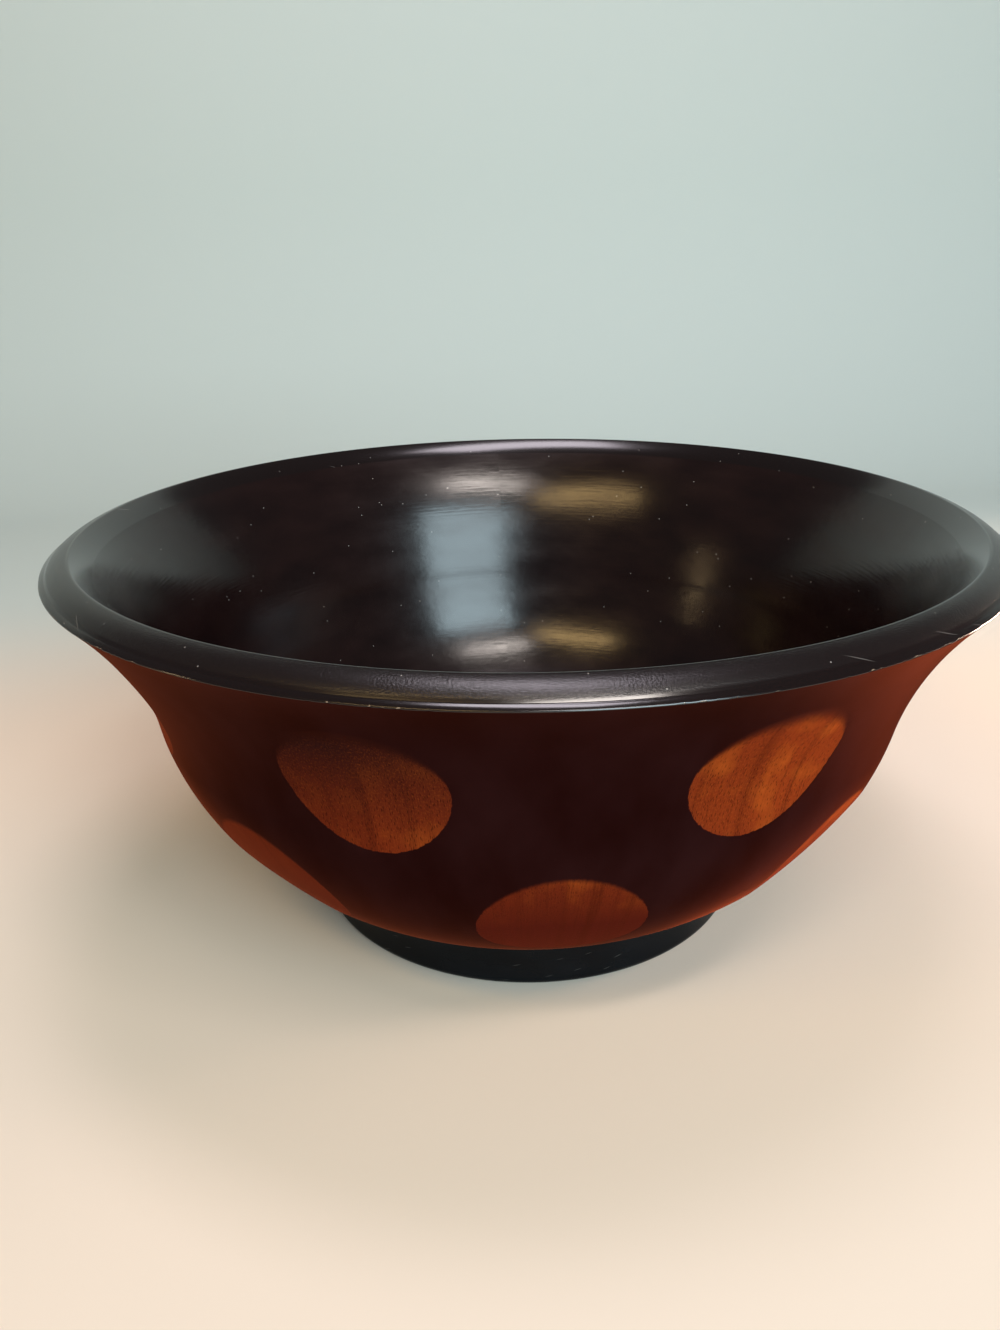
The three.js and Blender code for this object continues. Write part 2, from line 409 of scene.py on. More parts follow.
def turned_patch(section: Array, normals: Array, steps: int, flat_radius: float) -> Patch:
    """Carries one section right round the axis.

    Args:
        section: Rows of radius and height, mm.
        normals: Rows of the normal's radius and height parts.
        steps: Azimuth steps.
        flat_radius: Radius at which the flat map's length round the axis is true.

    Returns:
        The patch, with the flat map's second value the length along the section.
    """
    azimuth = turns(steps)
    points = around(section[:, :1], section[:, 1:], azimuth[None])
    turned = around(normals[:, :1], normals[:, 1:], azimuth[None])
    flat = np.stack(np.broadcast_arrays(azimuth[None] * flat_radius, lengths(section)[:, None]), -1)
    return Patch(points, turned, flat, {})


def seat_piece(piece: bpy.types.Object, node: str, slot: Slot, *finishes: bpy.types.Material) -> None:
    """Gives a piece its finish, lets it stand for its node and logs it.

    Args:
        piece: The new object.
        node: Node that it stands for.
        slot: Slot of its finish; not used.
        *finishes: Its materials, in the order of the mesh's numbers.
    """
    for finish in finishes:
        piece.data.materials.append(finish)
    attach(piece, BODY)
    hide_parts(node)
    LOG.info("%s: %d faces", piece.name, len(piece.data.polygons))


# Finishes

class Shading:
    """A material in the making: its node tree and the patterns that the finishes share."""

    def __init__(self, name: str) -> None:
        """Starts an empty material.

        Args:
            name: The material's name.
        """
        self.material = bpy.data.materials.new(name)
        self.material.use_nodes = True
        self.tree = self.material.node_tree

    @cached_property
    def flat(self) -> Socket:
        """The piece's surface map, in metres."""
        return self.add("UVMap", {}, "UV", uv_map=UV_NAME)

    def feed(self, node: Node, inputs: dict) -> None:
        """Links or sets a node's inputs.

        Inputs of Map Range are, by number, the value, the span it has (1, 2) and the span it gets (3, 4).
        Those of Mix are the share and then two numbers (2, 3) or two colours (6, 7).

        Args:
            node: The node.
            inputs: Input name or number to a socket, an sRGB hex colour or a constant.
        """
        for key, value in inputs.items():
            if isinstance(value, Socket):
                self.tree.links.new(value, node.inputs[key])
            else:
                node.inputs[key].default_value = linear(value) if isinstance(value, str) else value

    def add(self, kind: str, inputs: dict, output: int | str = 0, **settings) -> Socket:
        """Adds a shader node, sets it up and feeds its inputs.

        Args:
            kind: Node type, such as Math.
            inputs: What its inputs get.
            output: Name or number of the output that is wanted.
            **settings: Attributes of the node itself.

        Returns:
            The output's socket.
        """
        node = self.tree.nodes.new(f"ShaderNode{kind}")
        for name, value in settings.items():
            setattr(node, name, value)
        self.feed(node, inputs)
        return node.outputs[output]

    def cells(self, width: float, length: float, turn: float) -> Socket:
        """Surface map counted in cells of a width round the bowl and a length up it.

        Args:
            width: Cell size round the bowl, mm.
            length: Cell size up the bowl, mm.
            turn: Angle by which the cells lean, radians.

        Returns:
            Vector socket.
        """
        size = (1 / (width * MM), 1 / (length * MM), 1.0)
        turned = self.add("VectorRotate", {"Vector": self.flat, "Angle": turn}, rotation_type="Z_AXIS")
        return self.add("VectorMath", {0: turned, 1: size}, operation="MULTIPLY")

    def cloud(self, width: float, length: float, detail: float = 2.0, low: float = 0.2,
              high: float = 0.8) -> Socket:
        """Noise of one cell a unit, stretched so that its levels low and high become 0 and 1.

        Args:
            width: Cell size round the bowl, mm.
            length: Cell size up the bowl, mm.
            detail: Octaves of finer noise.
            low: Noise level that becomes 0.
            high: Noise level that becomes 1.

        Returns:
            Number socket from 0 to 1.
        """
        place = self.cells(width, length, 0.0)
        noise = self.add("TexNoise", {"Vector": place, "Scale": 1.0, "Detail": detail}, "Fac")
        return self.add("MapRange", {0: noise, 1: low, 2: high})

    def dashes(self, width: float, length: float, core: float, edge: float, share: float,
               turn: float = 0.0) -> Socket:
        """Short marks, one in the middle of some of the cells of a Voronoi pattern.

        Args:
            width: Cell size round the bowl, mm.
            length: Cell size up the bowl, mm.
            core: Distance from a cell's middle up to which the mark is full, in cells.
            edge: Distance at which it ends.
            share: Share of the cells that hold a mark.
            turn: Angle by which the cells lean, radians.

        Returns:
            Number socket, 1 in a mark.
        """
        place = self.cells(width, length, turn)
        away = self.add("TexVoronoi", {"Vector": place, "Scale": 1.0}, "Distance", voronoi_dimensions="2D")
        mark = self.add("MapRange", {0: away, 1: core, 2: edge, 3: 1.0, 4: 0.0},
                        interpolation_type="SMOOTHSTEP")
        draw = self.add("SeparateColor", {0: away.node.outputs["Color"]})
        chosen = self.add("Math", {0: draw, 1: share}, operation="LESS_THAN")
        return self.overlap(mark, chosen)

    def overlap(self, first: Socket, *others: Socket | float) -> Socket:
        """Product of several shares, of which the later ones may be constants."""
        share = first
        for other in others:
            share = self.add("Math", {0: share, 1: other}, operation="MULTIPLY")
        return share

    def layered(self, ground: str, *coats: tuple[Socket, str | Socket]) -> Socket:
        """Lays coats of colour over a ground.

        Args:
            ground: Lowest colour.
            *coats: Share and colour of each coat, from below.

        Returns:
            Colour socket.
        """
        colour = ground
        for share, coat in coats:
            colour = self.add("Mix", {0: share, 6: colour, 7: coat}, 2, data_type="RGBA")
        return colour

    def finish(self, inputs: dict) -> bpy.types.Material:
        """Feeds the shader and gives the material."""
        self.feed(self.tree.nodes["Principled BSDF"], inputs)
        return self.material


@dataclass(frozen=True)
class OuterFinish:
    """Turned mahogany-like staves under tinted red-brown lacquer, sanded to oiled bare wood in the facets.

    The tinted lacquer is sprayed and rubbed, so it is smooth, dark seen square on and glows red towards the
    edges. The bare wood has open pores, dark dashes that run up the wall, and colour that changes in bands.
    Its painted light makes it paler on the front towards +X and darker towards -X, with painted shade at the
    tops. Spans lie on the surface map: red and painted shade up from the wall's turn, left and side round
    from the front.
    """

    thick: str = "#1c0807"
    # Thinner lacquer colour, also laid over the facet tops as painted shade.
    thin_lacquer_and_shade: str = "#251010"
    glow: str = "#ff7d52"
    sheen: float = 0.18
    sheen_roughness: float = 0.28
    wood_low: str = "#4c170f"
    wood_high: str = "#833314"
    wood_bright: str = "#b0561e"
    # Dark wood of the grain bands, also the colour of painted shade on the front towards -X.
    wood_dark_and_shade: str = "#43150a"
    pore: str = "#220b06"
    pore_width: float = 0.7
    pore_length: float = 3.4
    pore_low: float = 0.12
    pore_high: float = 0.75
    fleck: float = 0.45
    fleck_share: float = 0.4
    fibre_width: float = 0.6
    fibre_length: float = 30.0
    fibre_shade: float = 0.5
    band_width: float = 7.0
    band_length: float = 210.0
    band_shade: float = 0.55
    patch_size: float = 20.0
    # Painted shade where the tone is low: tones over which it fades out, and its strongest share.
    shade_tones: tuple[float, float] = (0.25, 0.6)
    deepest_shade: float = 0.36
    red_span: tuple[float, float] = (-37 * MM, 5 * MM)
    # Painted shade at the facet tops: its span up the wall, its share towards +X, its span and share on the
    # side.
    painted_shade_span: tuple[float, float] = (0.0, 38 * MM)
    left_span: tuple[float, float] = (-70 * MM, 40 * MM)
    painted_shade_right: float = 0.1
    side_span: tuple[float, float] = (-190 * MM, -110 * MM)
    painted_shade_side: float = 0.35
    raggedness: float = 0.05

    def build(self) -> bpy.types.Material:
        """Makes the material.

        Returns:
            Material that reads the surface map and the numbers facet_depth, facet_fade and tone_and_light.
        """
        paint = Shading("tinted_lacquer_on_mahogany")
        bare = self.bare(paint)
        pores = paint.dashes(self.pore_width, self.pore_length, core=0.1, edge=0.25, share=0.6)
        coat = paint.cloud(width=30.0, length=45.0, detail=3.0, low=0.35, high=0.7)
        colour = paint.layered(self.thick, (coat, self.thin_lacquer_and_shade), (bare, self.wood(paint, pores)))
        rough = paint.add("Mix", {0: bare, 2: Polish.SATIN.value, 3: Polish.RUBBED.value})
        marks = paint.cloud(width=70.0, length=1.4)
        turned = paint.add("Bump", {"Strength": 0.05, "Distance": 0.2 * MM, "Height": marks})
        sunk = paint.add("Bump", {"Strength": 0.3, "Distance": 0.2 * MM, "Normal": turned,
                                  "Height": paint.overlap(pores, bare)}, invert=True)
        return paint.finish({"Base Color": colour, "Roughness": rough, "Normal": sunk, "IOR": LACQUER_IOR,
                             "Specular IOR Level": 0.0, "Sheen Weight": self.sheen,
                             "Sheen Roughness": self.sheen_roughness, "Sheen Tint": self.glow})

    def wood(self, paint: Shading, pores: Socket) -> Socket:
        """Colour of the bare wood.

        Args:
            paint: The material in the making.
            pores: 1 in a pore.

        Returns:
            Colour: redder low on the wall, orange-brown high, with bright patches, dark bands and pores.
                Painted light makes it paler on the front towards +X and darker on the front towards -X,
                where painted shade in the thin lacquer colour also lies at the top.
        """
        across = paint.add("SeparateXYZ", {0: paint.flat})
        up = across.node.outputs[1]
        rise = paint.add("MapRange", {0: up, 1: self.red_span[0], 2: self.red_span[1]})
        # Stave tone with painted light in it: higher on the front towards +X, lower towards -X; pale wood
        # and bright patches follow it.
        tone_and_light = paint.add("Attribute", {}, "Fac", attribute_name="tone_and_light")
        pale = paint.overlap(rise, tone_and_light)
        patch = paint.cloud(self.patch_size, self.patch_size, low=0.5, high=0.72)
        band = paint.cloud(self.band_width, self.band_length, low=0.52, high=0.75)
        fibre = paint.cloud(self.fibre_width, self.fibre_length, detail=3.0, low=0.45)
        flecks = paint.cloud(self.fleck, 2 * self.fleck, low=0.5)
        bands = paint.overlap(band, self.band_shade)
        shade = paint.add("Math", {0: fibre, 1: self.fibre_shade, 2: bands},
                          operation="MULTIPLY_ADD", use_clamp=True)
        # Painted shade: darker wood where the tone is low, on the front towards -X.
        dull_shade = paint.add("MapRange", {0: tone_and_light, 1: self.shade_tones[0], 2: self.shade_tones[1],
                                      3: self.deepest_shade, 4: 0.0})
        # Painted shade: the thin lacquer colour over the upper facets, strongest on the front towards -X.
        height = paint.add("MapRange", {0: up, 1: self.painted_shade_span[0], 2: self.painted_shade_span[1]})
        left = paint.add("MapRange", {0: across, 1: self.left_span[0], 2: self.left_span[1],
                                      3: 1.0, 4: self.painted_shade_right})
        side = paint.add("MapRange", {0: across, 1: self.side_span[0], 2: self.side_span[1],
                                      3: self.painted_shade_side, 4: 1.0})
        open_pores = paint.add("MapRange", {0: rise, 3: self.pore_low, 4: self.pore_high})
        return paint.layered(self.wood_low, (pale, self.wood_high),
                             (paint.overlap(patch, pale, tone_and_light), self.wood_bright),
                             (shade, self.wood_dark_and_shade), (dull_shade, self.wood_dark_and_shade),
                             (paint.overlap(height, left, side), self.thin_lacquer_and_shade),
                             (paint.overlap(flecks, pale, self.fleck_share), self.wood_bright),
                             (paint.overlap(pores, open_pores), self.pore))

    def bare(self, paint: Shading) -> Socket:
        """Share of bare wood: rises with the cut's depth over the fade, on a slightly ragged line."""
        depth = paint.add("Attribute", {}, "Fac", attribute_name="facet_depth")
        fade = paint.add("Attribute", {}, "Fac", attribute_name="facet_fade")
        ragged = paint.cloud(width=1.5, length=2.5, detail=3.0)
        shift = paint.add("MapRange", {0: ragged, 3: -self.raggedness, 4: self.raggedness})
        line = paint.add("Math", {0: depth, 1: shift}, operation="ADD")
        return paint.add("MapRange", {0: line, 1: 0.0, 2: fade}, interpolation_type="SMOOTHSTEP")


@dataclass(frozen=True)
class InnerFinish:
    """Brown-black gloss lacquer on the turned inside: mirrors the room, drawn out by fine turning rings."""

    deep: str = "#120707"
    worn: str = "#1d0d0b"
    dust: str = "#b8b2ac"
    ring_length: float = 45.0
    ring_pitch: float = 1.1
    dust_cell: float = 14.0

    def build(self) -> bpy.types.Material:
        """Makes the material.

        Returns:
            Material that reads the surface map.
        """
        paint = Shading("turned_gloss_lacquer")
        coat = paint.cloud(width=40.0, length=18.0, detail=4.0, low=0.3, high=0.75)
        dust = paint.dashes(self.dust_cell, self.dust_cell, core=0.008, edge=0.022, share=0.2)
        colour = paint.layered(self.deep, (coat, self.worn), (dust, self.dust))
        rough = paint.add("MapRange", {0: coat, 3: Polish.GLOSS.value, 4: Polish.SATIN.value})
        rings = paint.cloud(self.ring_length, self.ring_pitch)
        turned = paint.add("Bump", {"Strength": 0.14, "Distance": 0.12 * MM, "Height": rings})
        waves = paint.cloud(width=6.0, length=4.0)
        wavy = paint.add("Bump", {"Strength": 0.1, "Distance": 0.25 * MM, "Height": waves, "Normal": turned})
        return paint.finish({"Base Color": colour, "Roughness": rough, "Normal": wavy, "IOR": LACQUER_IOR})


@dataclass(frozen=True)
class LipFinish:
    """Brown-black lacquer brushed on the lip: grainy on the roll, rubbed to a gloss on bevel and crest.

    It is worn to pale wood along the sharp edge. Roll start and end are lengths up from that edge.
    """

    deep: str = "#090505"
    brown: str = "#180b0a"
    chipped: str = "#84705f"
    chip_levels: tuple[float, float] = (0.25, 0.42)
    scratch: str = "#8d8580"
    scratch_share: float = 0.35
    scratch_lean: float = radians(24)
    speck_cell: float = 9.0
    grain_width: float = 0.7
    grain_height: float = 0.45
    grain_bump: float = 0.55
    roll_start: tuple[float, float] = (3.1 * MM, 3.8 * MM)
    roll_end: tuple[float, float] = (10.5 * MM, 11.5 * MM)
    gloss: float = 0.7

    def build(self) -> bpy.types.Material:
        """Makes the material.

        Returns:
            Material that reads the surface map and the number chip.
        """
        paint = Shading("brushed_lip_lacquer")
        chip = paint.add("Attribute", {}, "Fac", attribute_name="chip")
        grain = paint.cloud(self.grain_width, self.grain_height, detail=3.0, low=0.25, high=0.75)
        bare = paint.add("MapRange", {0: paint.overlap(chip, grain), 1: self.chip_levels[0],
                                      2: self.chip_levels[1]}, interpolation_type="SMOOTHSTEP")
        speck = paint.dashes(self.speck_cell, self.speck_cell, core=0.012, edge=0.032, share=0.18)
        hair = paint.dashes(width=16.0, length=0.5, core=0.1, edge=0.36, share=0.004, turn=self.scratch_lean)
        hair = paint.overlap(hair, self.scratch_share)
        marks = paint.add("Math", {0: speck, 1: hair}, operation="MAXIMUM")
        colour = paint.layered(self.deep, (grain, self.brown), (bare, self.chipped), (marks, self.scratch))
        rise = paint.add("SeparateXYZ", {0: paint.flat}, 1)
        below = paint.add("MapRange", {0: rise, 1: self.roll_start[0], 2: self.roll_start[1]})
        above = paint.add("MapRange", {0: rise, 1: self.roll_end[0], 2: self.roll_end[1], 3: 1.0, 4: 0.0})
        roll = paint.overlap(below, above)
        rough = paint.add("Mix", {0: roll, 2: Polish.GLOSS.value, 3: Polish.SATIN.value})
        bump = paint.add("Bump", {"Strength": paint.overlap(roll, self.grain_bump), "Distance": 0.08 * MM,
                                  "Height": grain})
        return paint.finish({"Base Color": colour, "Roughness": rough, "Normal": bump, "IOR": LACQUER_IOR,
                             "Specular IOR Level": self.gloss})


@dataclass(frozen=True)
class FootFinish:
    """Blue-black sprayed lacquer on the turned foot: deep gloss with a few hair scratches from handling."""

    deep: str = "#06080b"
    worn: str = "#0d1014"
    scratch: str = "#5a5652"
    scratch_share: float = 0.4
    scratch_lean: float = radians(-12)
    gloss: float = 0.12

    def build(self) -> bpy.types.Material:
        """Makes the material.

        Returns:
            Material that reads the surface map.
        """
        paint = Shading("foot_lacquer")
        coat = paint.cloud(width=22.0, length=9.0, detail=3.0, low=0.3, high=0.75)
        hair = paint.dashes(width=5.0, length=0.4, core=0.1, edge=0.36, share=0.008, turn=self.scratch_lean)
        hair = paint.overlap(hair, self.scratch_share)
        colour = paint.layered(self.deep, (coat, self.worn), (hair, self.scratch))
        rough = paint.add("MapRange", {0: coat, 3: Polish.GLOSS.value, 4: Polish.SATIN.value})
        marks = paint.cloud(width=50.0, length=1.2)
        turned = paint.add("Bump", {"Strength": 0.08, "Distance": 0.1 * MM, "Height": marks})
        return paint.finish({"Base Color": colour, "Roughness": rough, "Normal": turned, "IOR": LACQUER_IOR,
                             "Specular IOR Level": self.gloss})


# Sub-assemblies

@dataclass
class StaveWall:
    """The wall: glued staves with two staggered rows of facets, whose middles lie on the glue joints."""

    section: WallSection
    rows: tuple[FacetRow, ...]
    staves: int = 16
    outer_steps: int = 170
    inner_steps: int = 70
    columns: int = 54
    edge_ease: float = 0.06
    cut_share: float = 0.55
    tone_middle: float = 0.62
    # Painted light: how far tones rise on the front towards +X and fall on the front towards -X.
    painted_light_swing: float = 0.4
    tone_spread: float = 0.03
    normal_step: float = 0.1
    line_steps: int = 400
    inner_start: float = 200.0
    inner_end: float = 400.0

    def outer_face(self, along: Array, azimuth: Array) -> Array:
        """Points of the outer face: the ogee, sunk by the deepest facet there.

        The sinking is a share of (d + sqrt(d^2 + e^2)) / 2, with d the depth of a flat cut and e the length
        over which the facet's edge is eased. The share leaves the facet slightly round, as if hand sanded.

        Args:
            along: Distance along the face, mm.
            azimuth: Azimuth, radians.

        Returns:
            Points in mm.
        """
        depth = np.maximum.reduce([row.depth(self.section, along, azimuth) for row in self.rows])
        sunk = self.cut_share * (depth + np.sqrt(depth**2 + self.edge_ease**2)) / 2
        radius, height = self.section.point(along, sunk)
        return around(radius, height, azimuth)

    def outer_patch(self, along: Array, azimuth: Array) -> tuple[Array, Array]:
        """Points and normals of the outer face, the normals from small steps either way.

        Args:
            along: Column of distances along the face.
            azimuth: Row of azimuths.

        Returns:
            Points and normals on the grid.
        """
        step = self.normal_step
        turn = step / self.section.rim_radius
        across = self.outer_face(along, azimuth + turn) - self.outer_face(along, azimuth - turn)
        upwards = self.outer_face(along + step, azimuth) - self.outer_face(along - step, azimuth)
        normal = np.cross(across, upwards)
        return self.outer_face(along, azimuth), normal / np.linalg.norm(normal, axis=-1, keepdims=True)

    def inner_side(self) -> tuple[Array, Array]:
        """Section and normals of the inside, from the rim joint to the bottom disc.

        Returns:
            Rows of radius and height, and of the normal.
        """
        line = self.section.inner_line(self.line_steps)
        normals = section_normals(line)
        length = lengths(line)
        end = np.interp(-self.section.spigot_radius, -line[:, 0], length)
        marks = np.linspace(0.0, end, self.inner_steps)
        points, turned = (np.stack([np.interp(marks, length, part) for part in rows.T], -1)
                          for rows in (line, normals))
        return points, turned

    def build(self, outside: bpy.types.Material, inside: bpy.types.Material) -> None:
        """Makes one piece for each stave.

        Args:
            outside: Material of the outer face.
            inside: Material of the inside and the joints.
        """
        section = self.section
        pitch = 2 * pi / self.staves
        along = np.linspace(section.along_at(section.foot_height), section.along_at(section.rim_height),
                            self.outer_steps)[:, None]
        inner, inner_normals = self.inner_side()
        groove = section.tongue[::-1]
        rebate = section.rebate
        fixed = np.concatenate([groove, inner, rebate])
        fixed_normals = np.concatenate([np.tile((0.0, 1.0), (len(groove), 1)), inner_normals,
                                        np.tile((0.0, -1.0), (len(rebate), 1))])
        middles = (np.arange(self.staves) + 0.5) * pitch
        drift = np.random.default_rng(SEED).uniform(-self.tone_spread, self.tone_spread, self.staves)
        # Painted light on the front half: tones rise towards +X and fall towards -X; the drift is a random
        # tone per stave.
        front = np.sqrt(np.maximum(np.cos(middles), 0.0))
        tones_and_light = self.tone_middle + self.painted_light_swing * np.sin(middles) * front + drift
        inner_length = np.linspace(self.inner_start, self.inner_end, len(fixed))[:, None]
        for number in range(self.staves):
            first = number if number < self.staves // 2 else number - self.staves
            azimuth = np.linspace(first * pitch, (first + 1) * pitch, self.columns)[None]
            outer, outer_normals = self.outer_patch(along, azimuth)
            points = np.concatenate([outer, around(fixed[:, :1], fixed[:, 1:], azimuth)])
            turned = around(fixed_normals[:, :1], fixed_normals[:, 1:], azimuth)
            normals = np.concatenate([outer_normals, turned])
            depths = np.stack([row.depth(section, along, azimuth) for row in self.rows])
            fades = np.stack([np.broadcast_to(row.fade(section, along), depths[0].shape)
                              for row in self.rows])
            chosen = depths.argmax(0)[None]
            spare = np.full((len(fixed), self.columns), UNCUT)
            numbers = {
                "facet_depth": np.concatenate([np.take_along_axis(depths, chosen, 0)[0], spare]),
                "facet_fade": np.concatenate([np.take_along_axis(fades, chosen, 0)[0],
                                              np.ones_like(spare)]),
                "tone_and_light": np.full(points.shape[:2], tones_and_light[number]),
            }
            length = np.concatenate([along, inner_length])
            flat = np.stack(np.broadcast_arrays(azimuth * section.rim_radius, length), -1)
            name = f"stave_{number + 1:02d}"
            piece = sweep(f"{name}_turned", Patch(points, normals, flat, numbers), closed=False,
                          second_from=self.outer_steps - 1)
            seat_piece(piece, name, Slot.STAVE, outside, inside)


@dataclass
class RimRing:
    """The rolled lip: a bevel over a sharp lower edge, a cove, a roll, a tight crest, a flare inside."""

    section: WallSection
    crest_height: float
    edge_round: float = 0.5
    bevel_low: float = radians(40)
    bevel_arc: float = 6.0
    bevel_high: float = radians(25)
    cove_arc: float = 1.2
    crest_round: float = 1.0
    roll_low: float = radians(48)
    roll_high: float = radians(12)
    flare_high: float = radians(35)
    steps: int = 1024
    arc_steps: int = 14
    chips: int = 520
    chip_groups: int = 36
    group_spread: float = 8.0
    chip_reach: float = 0.6
    chip_widths: tuple[float, float] = (0.2, 0.9)
    chip_depths: tuple[float, float] = (0.03, 0.15)
    worn_places: tuple[float, ...] = (radians(-42), radians(48), radians(72), radians(170))
    worn_spread: float = radians(16)

    def arc(self, start: Array, radius: float, slope: float, end_slope: float) -> Array:
        """Arc of the section from one slope to another, both measured down and outwards.

        With the slope s falling, the point moves by radius * (sin s - sin start, cos s - cos start).
        A hollow arc has a rising slope and a negative radius.

        Args:
            start: Radius and height of its first point.
            radius: Its radius.
            slope: Slope at its first point.
            end_slope: Slope at its last point.

        Returns:
            Its points after the first.
        """
        angle = np.linspace(slope, end_slope, self.arc_steps)[1:, None]
        return start + radius * np.concatenate([np.sin(angle) - sin(slope), np.cos(angle) - cos(slope)], 1)

    def visible_line(self) -> Array:
        """Section from the sharp edge over bevel, cove, roll and crest, and down the flare to the wall.

        The flare's radius takes it from the crest to the inner wall in the wall's direction. The roll's
        radius takes it from the crest to the cove, and a short upright face takes up the rest of the height.

        Returns:
            Rows of radius and height.
        """
        low = self.section.rim_height
        lean = float(self.section.lean(np.array(self.section.along_at(low, self.section.wall))))
        fall = self.crest_height - low - self.crest_round * (1 - cos(self.flare_high))
        flare = fall / (cos(self.flare_high) - cos(lean))
        crest_radius = self.section.inner_edge + flare * (sin(lean) - sin(self.flare_high))
        crest_radius += self.crest_round * sin(self.flare_high)
        edge = ((self.edge_round, pi / 2, self.bevel_low),
                (self.bevel_arc, self.bevel_low, self.bevel_high),
                (-self.cove_arc, self.bevel_high, self.roll_low))
        taken = sum(radius * (sin(start) - sin(end)) for radius, start, end in edge)
        taken += self.crest_round * sin(self.roll_high)
        roll = (self.section.rim_radius - taken - crest_radius) / (sin(self.roll_low) - sin(self.roll_high))
        outside = (*edge, (roll, self.roll_low, self.roll_high))
        rise = sum(radius * (cos(end) - cos(start)) for radius, start, end in outside)
        rise += self.crest_round * (1 - cos(self.roll_high))
        line = np.array([(self.section.rim_radius, low),
                         (self.section.rim_radius, self.crest_height - rise)])
        inside = ((self.crest_round, self.roll_high, -self.flare_high), (flare, -self.flare_high, -lean))
        for radius, start, end in (*outside, *inside):
            line = np.concatenate([line, self.arc(line[-1], radius, start, end)])
        return line

    def chip_depth(self, azimuth: Array) -> Array:
        """Depth of the small chips round the sharp edge: the deepest of many bumps, placed at random."""
        draw = np.random.default_rng(SEED + 1)
        groups = draw.choice(self.worn_places, self.chip_groups)
        groups += draw.normal(0.0, self.worn_spread, self.chip_groups)
        places = draw.choice(groups, self.chips)
        places += draw.normal(0.0, self.group_spread / self.section.rim_radius, self.chips)
        widths = draw.uniform(*self.chip_widths, self.chips) / self.section.rim_radius
        depths = draw.uniform(*self.chip_depths, self.chips)
        away = (azimuth[None] - places[:, None] + pi) % (2 * pi) - pi
        return (depths[:, None] * np.clip(1 - (away / widths[:, None])**2, 0.0, 1.0)).max(0)

    def build(self, finish: bpy.types.Material) -> None:
        """Makes the lip.

        Args:
            finish: The lip's material.
        """
        line = self.visible_line()
        under = self.section.tongue
        section = np.concatenate([line, under])
        normals = np.concatenate([section_normals(line), np.tile((0.0, -1.0), (len(under), 1))])
        patch = turned_patch(section, normals, self.steps, self.section.rim_radius)
        azimuth = turns(self.steps)
        depth = self.chip_depth(azimuth)[None]
        length = patch.flat[:, :1, 1]
        near = np.exp(-(length / self.chip_reach)**2)
        near[len(line):] = 0.0
        patch.points += around(-near * depth, near * depth, azimuth[None])
        patch.numbers["chip"] = near * np.clip(depth / self.chip_depths[1], 0.0, 1.0)
        seat_piece(sweep("rim_ring_rolled", patch, closed=True), "rim_ring", Slot.LIP, finish)


@dataclass
class BottomDisc:
    """The floor: a stepped disc in the staves' rebate, with a boss below that centres the foot."""

    section: WallSection
    foot_bore: float
    steps: int = 256
    line_steps: int = 300
    line_stride: int = 4
    pole: float = 1.0

    def build(self, finish: bpy.types.Material) -> None:
        """Makes the disc.

        Args:
            finish: The disc's material.
        """
        section = self.section
        inner = section.inner_line(self.line_steps)
        top = inner[inner[:, 0] < section.spigot_radius][:-1:self.line_stride]
        boss_bottom = section.foot_height - section.boss_depth
        boss = [(self.pole, boss_bottom), (self.foot_bore, boss_bottom),
                (self.foot_bore, section.foot_height)]
        below = np.concatenate([boss, section.rebate[::-1]])
        below_normals = np.array([(0, -1), (0, -1), (1, 0), (0, -1), (1, 0), (0, 1)], float)
        top = np.concatenate([top, [(self.pole, section.floor_height)]])
        line = np.concatenate([below, top])
        normals = np.concatenate([below_normals, section_normals(top)])
        patch = turned_patch(line, normals, self.steps, section.spigot_radius)
        piece = sweep("bottom_disc_turned", patch, closed=True, caps=(0, len(line) - 1))
        seat_piece(piece, "bottom_disc", Slot.FLOOR, finish)


@dataclass
class FootRing:
    """The foot: a black ring with a slightly hollow side and rounded lower edges."""

    radius: float
    height: float
    width: float = 19.0
    edge_round: float = 2.5
    hollow: float = 0.8
    steps: int = 384
    edge_steps: int = 9
    side_steps: int = 14

    @property
    def bore(self) -> float:
        """Radius of the ring's inner side."""
        return self.radius - self.width

    def build(self, finish: bpy.types.Material) -> None:
        """Makes the foot.

        Args:
            finish: The foot's material.
        """
        turn = np.linspace(0.0, pi / 2, self.edge_steps)
        size = self.edge_round
        inner = np.stack([self.bore + size - size * np.cos(turn), size - size * np.sin(turn)], -1)
        outer = np.stack([self.radius - size + size * np.sin(turn), size - size * np.cos(turn)], -1)
        share = np.linspace(0.0, 1.0, self.side_steps)[1:]
        side = np.stack([self.radius - self.hollow * np.sin(pi * share),
                         size + (self.height - size) * share], -1)
        line = np.concatenate([inner, outer, side])
        section = np.concatenate([line, [(self.bore, self.height)]])
        normals = np.concatenate([section_normals(line), [(-1.0, 0.0)]])
        patch = turned_patch(section, normals, self.steps, self.radius)
        seat_piece(sweep("foot_ring_turned", patch, closed=True), "foot_ring", Slot.FOOT, finish)


# Studio

@dataclass(frozen=True)
class SoftBox:
    """A rectangular studio light that looks at a point. A grid before it narrows its spread."""

    name: str
    place: tuple[float, float, float]
    aim: tuple[float, float, float]
    size: tuple[float, float]
    power: float
    colour: str
    spread: float = pi

    def build(self) -> None:
        """Adds the light to the scene."""
        lamp = bpy.data.lights.new(self.name, "AREA")
        lamp.shape = "RECTANGLE"
        lamp.size, lamp.size_y = self.size
        lamp.energy = self.power
        lamp.spread = self.spread
        lamp.color = linear(self.colour)[:3]
        holder = new_object(self.name, lamp)
        away = Vector(self.aim) - Vector(self.place)
        holder.rotation_euler = away.to_track_quat("-Z", "Y").to_euler()
        holder.location = self.place


